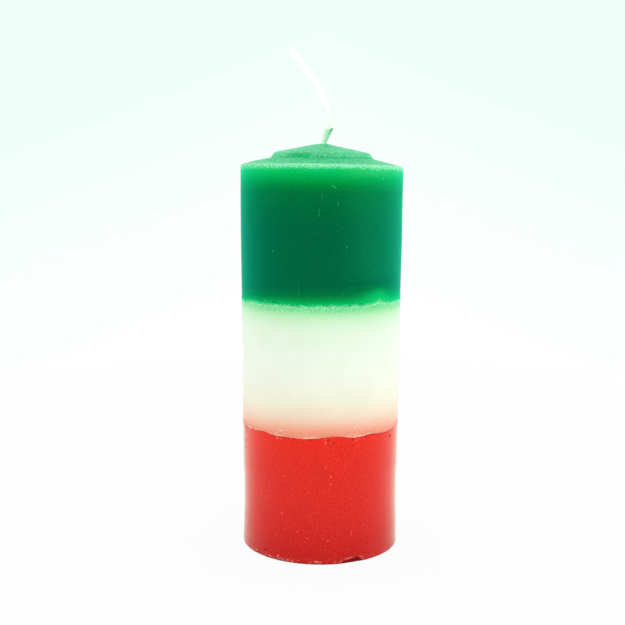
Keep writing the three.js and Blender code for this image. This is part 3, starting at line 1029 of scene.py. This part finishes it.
def frost_on_crown(cast, crown, crusty):
    """Bloom on the crown, with painted light and shade: a pale band at the rim, a paler cone, and bare green
    patches at the step.
    """
    rim = cast.form.rim
    places = cast.places()
    turn = np.radians(cast.angle)
    # The pale band is frost and a painted highlight along the rounded rim; it widens towards the sides as
    # painted sheen.
    fade = 1.3 + 0.45 * ease(np.abs(cast.angle), 10, 60) + 1.2 * ease(np.abs(cast.angle), 58, 88)
    fade += 0.2 * grain(places, 1.6, 37)
    band = ease(cast.height, rim - fade, rim + 0.15) * ease(cast.radius, 23.5, 27.3) * (cast.up > -0.2)
    band *= 1 - 0.45 * ease(-cast.angle, 15, 55) * ease(grain(places, 0.8, 39), -0.3, 0.6)
    step_top = rim + SLOPE_RISE + STEP_RISE
    cone = ease(cast.height, step_top - 0.3, step_top + 1.2)
    over = cast.height - rim - SLOPE_RISE
    # Painted light: the riser is painted paler, as if lit like the slope beside it.
    painted_riser_light = ease(over + 0.3 * grain(places, 1.2, 44), -0.1, 0.6) * (1 - cone) * (cast.radius > 15)
    # Painted shade in the nook at the step's foot.
    painted_nook_shade = ease(over, -0.9, 0) * (cast.radius > STEP_TOP_RADIUS + STEP_RUN - 0.3)
    bald = bell(over - 0.8, 0.6) * (cast.radius > 15) * cast.near(*BALD_PATCH)
    # Painted shade: a darker, less frosted dimple beside the wick, which the mesh does not dent.
    across = (cast.radius * np.sin(turn) - DIMPLE_PLACE[0]) / DIMPLE_SPREAD[0]
    forward = (cast.radius * np.cos(turn) - DIMPLE_PLACE[1]) / DIMPLE_SPREAD[1]
    dimple = bell(np.hypot(across, forward), 1)
    # The frost also grows towards the left and right as painted sheen, where the crown is seen edge on.
    field = 0.2 + 0.18 * cone + 0.45 * painted_riser_light - 0.12 * painted_nook_shade + 0.25 * np.sin(turn) ** 2 - 0.3 * dimple
    field = crown * (field - 0.6 * bald + 0.1 * grain(places, 2.5, 38) + 0.08 * grain(places, 1, 43))
    field = np.clip(field + 0.35 * crusty, 0, 0.8)
    cast.whiten(np.maximum(field, 0.95 * band))
    cast.darken(crown * (0.08 + 0.2 * bald + 0.06 * painted_nook_shade + 0.5 * dimple))


def frost_finish(piece, cast, material):
    """Gives the faces from the rim inwards the frosted wax."""
    mesh = piece.data
    mesh.materials.append(material)
    frosted = cast.height[0] > cast.form.rim - FROST_START
    mesh.polygons.foreach_set("material_index", np.tile(frosted, len(cast.height)).astype(np.int32))


def white_tier(form):
    """The white pour, between the two seams."""
    low, high = form.lower, form.upper
    wall = rows(
        low,
        (low + 0.9, VERY_FINE),
        (low + 3.6, FINE),
        (low + 7, MIDDLING),
        (high - 3.5, COARSE),
        (high - 0.5, FINE),
        (high, VERY_FINE),
    )
    wall = followed(wall, WHITE_MARKS)
    cast = Cast(form, np.concatenate([
        on_wall(form, wall, form.bead(wall - low) + form.shoulder(high - wall))[:-1],
        form.bowl(high),
        form.bowl(low)[::-1][:-1],
    ]))
    places = cast.places()
    lumps, crumbs = grain(places, 0.7, 41), grain(places, 0.4, 42)
    over, under = cast.height - low, high - cast.height
    cast.swell()
    cast.push += form.crumbling * bell(over - 0.35, 0.7) * (0.07 * lumps + 0.07 * crumbs)
    cast.push += form.crumbling * bell(under - 0.6, 1.4) * (0.04 * lumps + 0.05 * crumbs)
    closed = 1 - cast.patches(CRACK_PATCHES)
    cast.push += 0.11 * closed * np.exp(-over / 0.09)
    for mark in WHITE_MARKS:
        cast.mark(*mark)
    skin = cast.skin(0.6)
    cast.push *= skin
    level = form.rise(cast.angle, cast.radius, cast.height) * ease(over, 0.3, 1.5) * skin
    # Painted sheen: the red stain is thinner towards the sides, where the wax is seen edge on.
    painted_sheen_sides = 1.6 * np.sin(np.radians(cast.angle)) ** 2 * ease(over, 0.5, 2) * (1 - ease(over, 8, 16))
    cast.depth += level + painted_sheen_sides
    lip = cast.patches(LIP_PATCHES)
    torn = 0.2 + 0.2 * grain(places, 1.3, 45) + 0.55 * lip * ease(grain(places, 0.8, 46), -0.1, 0.5)
    cast.whiten((0.15 + 0.6 * lip) * (1 - ease(over, torn, torn + 0.4)))
    cast.whiten(0.14 * bell(over - 1.2, 1.4))
    crust = ease(grain(places, 0.55, 47), 0, 0.5)
    cast.whiten((0.22 + 0.5 * crust) * bell(under - 0.35, 0.4))
    cast.whiten(0.16 * bell(under - 1.4, 1.2))
    cast.darken(0.1 * bell(over - 1.2, 1.2))
    # Painted shade under the green pour's bead, darkest in the hollows between crumbs.
    cast.darken((0.1 + 0.14 * ease(-crumbs - lumps, 0.2, 0.9)) * bell(under - 1.2, 1.1))
    return cast


def chip_hollow(angle, height):
    """How far the foot's edge is broken away at each place: long and low on its left, steep on its right."""
    turn = away(angle, CHIP_ANGLE)
    left = np.clip(1 + turn / CHIP_LEFT, 0, 1) ** 0.4
    right = np.clip(1 - turn / CHIP_RIGHT, 0, 1) ** 1.3
    edge = CHIP_HEIGHT * np.minimum(left, right)
    depth = CHIP_DEPTH * np.minimum(1, 0.25 + edge / CHIP_HEIGHT) * (0.4 + 0.6 * ease(height, 0, 0.8))
    return depth * ease(edge - height, 0, 0.3) * (edge > 0.05)


def red_tier(form):
    """The red pour, with its foot and the sink under it."""
    low = form.lower
    wall = rows(0.3, (3.5, FINE), (low - 4, COARSE), (low - 0.5, FINE), (low, VERY_FINE))
    wall = followed(wall, RED_MARKS)
    foot = float(form.wall(0.0))
    edge = [(foot - 0.35, 0), (foot - 0.2, 0.02), (foot - 0.08, 0.09), (foot - 0.02, 0.18)]
    ring = [(radius, 0) for radius in np.linspace(WELL_RADIUS, foot - 0.35, 10)[:-1]]
    cast = Cast(form, np.concatenate([
        np.array(ring + edge, float),
        on_wall(form, wall, form.shoulder(low - wall))[:-1],
        form.bowl(low),
        form.well(),
    ]))
    places = cast.places()
    crumbs = grain(places, 0.4, 52)
    standing = cast.height < 0.05
    cast.swell()
    cast.push += bell(cast.height, 1.0) * (0.05 * grain(places, 1.0, 51) + 0.05 * np.minimum(crumbs, 0))
    for mark in RED_MARKS:
        cast.mark(*mark)
    hollow = chip_hollow(cast.angle, cast.height)
    cast.push -= hollow * (1 + 0.15 * crumbs)
    cast.push *= cast.skin(0.6) & ~standing
    # Painted shade inside the chip.
    cast.darken(0.7 * ease(hollow, 0.1, 0.45))
    cast.dark *= cast.skin(1.5)
    reach = foot - 0.02 - chip_hollow(cast.angle, 0 * cast.height) - 0.3 * (1 - cast.radius / foot)
    cast.radius = np.where(standing, np.minimum(cast.radius, reach), cast.radius)
    skin = cast.skin(0.6)
    left_foot = cast.near(*RUBBED_AND_SHADED_FOOT)
    scuffs = ease(grain(places, 1.2, 55) + 0.7 * crumbs, 0, 0.8)
    rubbed = scuffs * bell(cast.height - 0.65, 0.5) * (0.3 + 0.7 * left_foot)
    cast.whiten(0.7 * rubbed)
    # Painted shadow: a dark line along the foot's lower edge where it meets the floor, wider on the left.
    painted_contact_shadow = bell(cast.height, 0.35 + 0.3 * left_foot) * (0.7 + 0.3 * ease(grain(places, 1.1, 56), -0.4, 0.4))
    cast.darken(0.95 * painted_contact_shadow * skin)
    cracked = cast.patches(CRACK_PATCHES)
    cast.push += 0.11 * (1 - cracked) * np.exp(-(low - cast.height) / 0.2) * skin
    # Painted shadow in the open groove under the white lip, broken into specks.
    crack_shadow = cracked * ease(grain(places, 0.9, 57) + 0.5 * crumbs, -0.1, 0.5)
    cast.darken((0.04 + 0.75 * crack_shadow) * bell(low - cast.height - 0.1, 0.22) * skin)
    return cast


def foot_top_up(form):
    """The last red pour: it fills the sink round the wick, with a dished face a little inside the foot."""
    well = form.well()
    edge_radius, edge_height = well[-1]
    radius = np.linspace(edge_radius, MOUTH_RADIUS, 40)[1:]
    dish = edge_height + TOP_UP_DISH * (1 - ((radius - MOUTH_RADIUS) / (edge_radius - MOUTH_RADIUS)) ** 2)
    cast = Cast(form, np.concatenate([well, np.stack([radius, dish], axis=-1)[:-1]])[::-1])
    places = cast.places()
    face = cast.up < 0
    rings = 0.05 * np.sin(cast.radius * 1.9)
    cast.push += face * (rings + 0.12 * grain(places, 5, 61) + 0.04 * grain(places, 0.9, 62))
    cast.pale = face * (0.16 + 0.2 * ease(grain(places, 3, 63), 0, 0.8))
    return cast


def plait(around, along):
    """How high the strands stand at each place on a round plait, from 0 in the gaps to 1 on the crests."""
    turns = around / (2 * math.pi)
    right = STRANDS * (turns + along / LAY)
    left = STRANDS * (turns - along / LAY)
    over_right = (np.floor(right) + np.floor(left)) % 2 == 0
    across = np.where(over_right, right, left) % 1 * 2 - 1
    lengthwise = np.where(over_right, left, right) % 1 * 2 - 1
    return np.sqrt(1 - across**2) * (1 - lengthwise**4)


def read_along(line, keys, values):
    """The points of a line at which its keys, such as lengths or heights, take some values."""
    return np.stack([np.interp(values, keys, line[:, axis]) for axis in range(3)], axis=-1)


def spaced(line, nose):
    """Places along the wick: far apart inside the wax, and close together where it shows."""
    lengths = np.concatenate([[0], np.cumsum(np.linalg.norm(np.diff(line, axis=0), axis=1))])
    shows = np.interp(nose - 1, line[:, 2], lengths)
    stations = rows(0, (3, WICK_STEP), (shows, 2 * COARSE), (lengths[-1], WICK_STEP))
    return stations, read_along(line, lengths, stations)


def tube_frame(centres):
    """For each centre, a direction across the wick in its bend and one out of it."""
    tangent = np.gradient(centres, axis=0)
    tangent /= np.linalg.norm(tangent, axis=1, keepdims=True)
    side = np.cross((0, 1, 0), tangent)
    side /= np.linalg.norm(side, axis=1, keepdims=True)
    return tangent, side, np.cross(tangent, side)


def wick_radius(over):
    """The wick's radius at heights over the nose: pinched where the wax holds it."""
    return WICK_WAIST + (WICK_RADIUS - WICK_WAIST) * ease(over, 0, WICK_NECK)


def wick_mesh(form):
    """The wick: a round plait with a waist where the crown holds it, and an uneven cut at each end."""
    stations, centres = spaced(form.wick_line(), form.nose)
    tangent, side, depth = tube_frame(centres)
    around = np.linspace(-math.pi, math.pi, WICK_SIDES, endpoint=False)[:, None]
    raised = plait(around, stations)
    over = centres[:, 2] - form.nose
    radius = wick_radius(over) - STRAND_RELIEF * (1 - raised)
    offset = radius[..., None] * (np.cos(around)[..., None] * side + np.sin(around)[..., None] * depth)
    points = centres + offset
    points += 0.05 * grain(points, 1.6, 71)[..., None] * side
    caps = []
    for station, way in ((0, -1), (-1, 1)):
        rim, middle, along = points[:, station], centres[station], tangent[station]
        fray = 0.16 * grain(rim, 0.5, 72)[:, None] * along
        rings = [
            middle + share * (rim - middle) + way * rise * along + share * fray
            for share, rise in CUT_RINGS
        ]
        caps.append(np.stack(rings, axis=1)[:, ::way])
    points = np.concatenate([caps[0], points, caps[1]], axis=1)
    raised = np.pad(raised, ((0, 0), (len(CUT_RINGS), len(CUT_RINGS))), "edge")
    return grid_mesh("wick_braid", points, capped=True, depth=raised)


def coat_mesh(form):
    """The wick's coat: a thin skirted sleeve that is torn open in a lip on its right."""
    line = form.wick_line()
    around = np.linspace(0, 2 * math.pi, COAT_SIDES, endpoint=False)[:, None]
    climb = np.linspace(0, 1, COAT_RINGS)
    ring = np.stack([np.cos(around), np.sin(around), 0 * around], axis=-1)
    uneven = 0.07 * grain(ring * 3, 1.0, 81)
    torn = np.maximum(0, np.cos(around + 0.15)) ** 3
    height = COAT_SEAT + COAT_HEIGHT * climb * (1 + uneven + 0.05 * torn)
    centre = read_along(line, line[:, 2], form.nose + height)
    places = centre + ring
    inner = wick_radius(height) + COAT_GAP + 0.03 * grain(places, 0.8, 82) + COAT_LIP * torn * climb**2.4
    outer = inner + COAT_WALL * (1.15 - 0.6 * climb) + COAT_SKIRT * np.maximum(0, 1 - climb / 0.16) ** 2
    sheet = [centre + ring * radius[..., None] for radius in (outer, inner)]
    points = np.concatenate([sheet[0], sheet[1][:, ::-1]], axis=1)
    green = 0.5 + 0.5 * np.cos(around) + 0.1 * grain(places, 0.6, 83)
    jagged = ease(green + 0.25 * grain(places, 0.45, 84), 0.75, 0.95) * ease(climb, 0.3, 0.8)
    layers = {"depth": green, "pale": 0.25 + 0 * green, "dark": 0.6 * jagged}
    layers = {name: np.concatenate([values, values[:, ::-1]], axis=1) for name, values in layers.items()}
    return grid_mesh("wick_coat", points, **layers)


class CANDLE_OT_green_tier(bpy.types.Operator):
    """Build the green crown and wall"""

    bl_idname = "candle.green_tier"
    bl_label = "Green tier"

    def execute(self, context):
        form = Form(context.scene.candle_sizes)
        colours = context.scene.candle_colours
        cast = green_tier(form)
        mesh = cast.mesh("green_crown_wax")
        piece = add_piece("green_crown_wax", mesh, green_wax(form, colours), "green_crown_tier")
        frost_finish(piece, cast, frosted_green_wax(form, colours))
        return {"FINISHED"}


class CANDLE_OT_white_tier(bpy.types.Operator):
    """Build the white middle"""

    bl_idname = "candle.white_tier"
    bl_label = "White tier"

    def execute(self, context):
        form = Form(context.scene.candle_sizes)
        material = white_wax(form, context.scene.candle_colours)
        mesh = white_tier(form).mesh("white_middle_wax")
        add_piece("white_middle_wax", mesh, material, "white_middle_tier")
        return {"FINISHED"}


class CANDLE_OT_red_tier(bpy.types.Operator):
    """Build the red wall with its foot, and the top-up in it"""

    bl_idname = "candle.red_tier"
    bl_label = "Red tier"

    def execute(self, context):
        form = Form(context.scene.candle_sizes)
        material = red_wax(form, context.scene.candle_colours)
        mesh = red_tier(form).mesh("red_foot_wax")
        add_piece("red_foot_wax", mesh, material, "red_foot_tier")
        mesh = foot_top_up(form).mesh("foot_top_up_wax")
        add_piece("foot_top_up_wax", mesh, material, "foot_top_up")
        return {"FINISHED"}


class CANDLE_OT_wick(bpy.types.Operator):
    """Build the braided wick"""

    bl_idname = "candle.wick"
    bl_label = "Wick"

    def execute(self, context):
        form = Form(context.scene.candle_sizes)
        material = primed_cotton(context.scene.candle_colours)
        add_piece("wick_braid", wick_mesh(form), material, "wick")
        return {"FINISHED"}


class CANDLE_OT_wick_coat(bpy.types.Operator):
    """Build the film of green wax round the foot of the wick"""

    bl_idname = "candle.wick_coat"
    bl_label = "Wick coat"

    def execute(self, context):
        form = Form(context.scene.candle_sizes)
        add_piece("wick_coat", coat_mesh(form), coat_wax(), "wick_wax_coat")
        return {"FINISHED"}


class CANDLE_OT_studio(bpy.types.Operator):
    """Set up the floor, the backdrop, the lights and the camera"""

    bl_idname = "candle.studio"
    bl_label = "Studio"

    def execute(self, context):
        studio = context.scene.candle_studio
        context.scene.view_settings.view_transform = "Standard"
        add_floor(context.scene)
        set_world(context.scene, studio)
        for name, power, *rest in LAMPS:
            add_softbox(name, getattr(studio, power), *rest)
        add_camera(context.scene)
        return {"FINISHED"}


def add_floor(scene):
    """A pale disc with only a faint shadow, because the camera sees it as lit from within."""
    mesh = bpy.data.meshes.new("floor")
    shape = bmesh.new()
    bmesh.ops.create_circle(shape, cap_ends=True, radius=FLOOR_RADIUS, segments=128)
    shape.to_mesh(mesh)
    shape.free()
    floor = bpy.data.objects.new("floor", mesh)
    scene.collection.objects.link(floor)
    material = bpy.data.materials.new("pale_floor")
    tree = cleared(material)
    grey = (FLOOR_GREY, FLOOR_GREY, FLOOR_GREY, 1)
    lit = add_node(tree, "ShaderNodeBsdfDiffuse", {"Color": grey}).outputs["BSDF"]
    glow = {"Color": (1, 1, 1, 1), "Strength": 1.0}
    glowing = add_node(tree, "ShaderNodeEmission", glow).outputs["Emission"]
    faint = add_node(tree, "ShaderNodeMixShader", {"Fac": FLOOR_GLOW, 1: lit, 2: glowing}).outputs["Shader"]
    seen = add_node(tree, "ShaderNodeLightPath").outputs["Is Camera Ray"]
    either = add_node(tree, "ShaderNodeMixShader", {"Fac": seen, 1: lit, 2: faint}).outputs["Shader"]
    output = add_node(tree, "ShaderNodeOutputMaterial")
    tree.links.new(either, output.inputs["Surface"])
    mesh.materials.append(material)


def set_world(scene, studio):
    """Even room light, and the backdrop that the camera and reflections see in its place."""
    world = bpy.data.worlds.new("studio")
    scene.world = world
    tree = cleared(world)
    direction = add_node(tree, "ShaderNodeTexCoord").outputs["Generated"]
    parts = add_node(tree, "ShaderNodeSeparateXYZ", {"Vector": direction}).outputs
    aside = sum_of(tree, "MULTIPLY", sum_of(tree, "ABSOLUTE", parts["X"], 0), BACKDROP_SIDES)
    share = spread(tree, sum_of(tree, "ADD", parts["Z"], aside), BACKDROP_LOW, BACKDROP_HIGH)
    stops = [
        (0, srgb(255, 255, 255)),
        (0.35, srgb(252, 255, 254)),
        (0.5, srgb(248, 255, 252)),
        (0.72, srgb(242, 254, 250)),
        (1, studio.backdrop),
    ]
    shown = colour_ramp(tree, share, stops)
    path = add_node(tree, "ShaderNodeLightPath").outputs
    seen = sum_of(tree, "MAXIMUM", path["Is Camera Ray"], path["Is Glossy Ray"])
    seen = sum_of(tree, "MAXIMUM", seen, path["Is Transmission Ray"])
    level = studio.room_light
    colour = mixed(tree, seen, (level, level, level), shown)
    light = add_node(tree, "ShaderNodeBackground", {"Color": colour, "Strength": 1.0})
    output = add_node(tree, "ShaderNodeOutputWorld")
    tree.links.new(light.outputs["Background"], output.inputs["Surface"])


def add_softbox(name, power, size, place, aim, beam):
    """A square softbox that faces the candle at a height, and isn't seen itself."""
    lamp = bpy.data.lights.new(name, "AREA")
    lamp.energy = power
    lamp.size = size
    lamp.spread = math.radians(beam)
    light = bpy.data.objects.new(name, lamp)
    light.location = place
    light.rotation_euler = (Vector((0, 0, aim)) - Vector(place)).to_track_quat("-Z", "Y").to_euler()
    light.visible_camera = False
    light.visible_glossy = False
    bpy.context.scene.collection.objects.link(light)


def add_camera(scene):
    """The photograph's camera, a little under the rim's height and looking slightly down."""
    lens = bpy.data.cameras.new("camera")
    lens.lens = CAMERA_LENS
    lens.sensor_width = CAMERA_SENSOR
    camera = bpy.data.objects.new("camera", lens)
    turn = Matrix.Rotation(math.radians(CAMERA_TURN), 4, "Z")
    tilt = Matrix.Rotation(math.radians(90 - CAMERA_DOWN), 4, "X")
    roll = Matrix.Rotation(math.radians(CAMERA_ROLL), 4, "Z")
    camera.matrix_world = Matrix.Translation(Vector(CAMERA_PLACE) * MM) @ turn @ tilt @ roll
    scene.collection.objects.link(camera)
    scene.camera = camera


OPERATORS = (
    CANDLE_OT_green_tier,
    CANDLE_OT_white_tier,
    CANDLE_OT_red_tier,
    CANDLE_OT_wick,
    CANDLE_OT_wick_coat,
    CANDLE_OT_studio,
)


class VIEW3D_PT_candle(bpy.types.Panel):
    """Builds the candle piece by piece"""

    bl_idname = "VIEW3D_PT_candle"
    bl_label = "Candle"
    bl_space_type = "VIEW_3D"
    bl_region_type = "UI"
    bl_category = "Candle"

    def draw(self, context):
        for group in ("candle_sizes", "candle_colours", "candle_studio"):
            settings = getattr(context.scene, group)
            box = self.layout.box()
            for name in settings.bl_rna.properties.keys():
                if name not in {"rna_type", "name"}:
                    box.prop(settings, name)
        for operator in OPERATORS:
            self.layout.operator(operator.bl_idname)


CLASSES = (CandleSizes, CandleColours, CandleStudio, *OPERATORS, VIEW3D_PT_candle)


def register():
    """Makes the settings, the operators and the panel known to Blender."""
    for known in CLASSES:
        bpy.utils.register_class(known)
    bpy.types.Scene.candle_sizes = PointerProperty(type=CandleSizes)
    bpy.types.Scene.candle_colours = PointerProperty(type=CandleColours)
    bpy.types.Scene.candle_studio = PointerProperty(type=CandleStudio)


def unregister():
    """Takes the settings, the operators and the panel away again."""
    for name in ("candle_sizes", "candle_colours", "candle_studio"):
        delattr(bpy.types.Scene, name)
    for known in reversed(CLASSES):
        bpy.utils.unregister_class(known)


def main():
    """Builds the candle and its studio."""
    register()
    for operator in OPERATORS:
        module, name = operator.bl_idname.split(".")
        getattr(getattr(bpy.ops, module), name)()


if __name__ == "__main__":
    main()
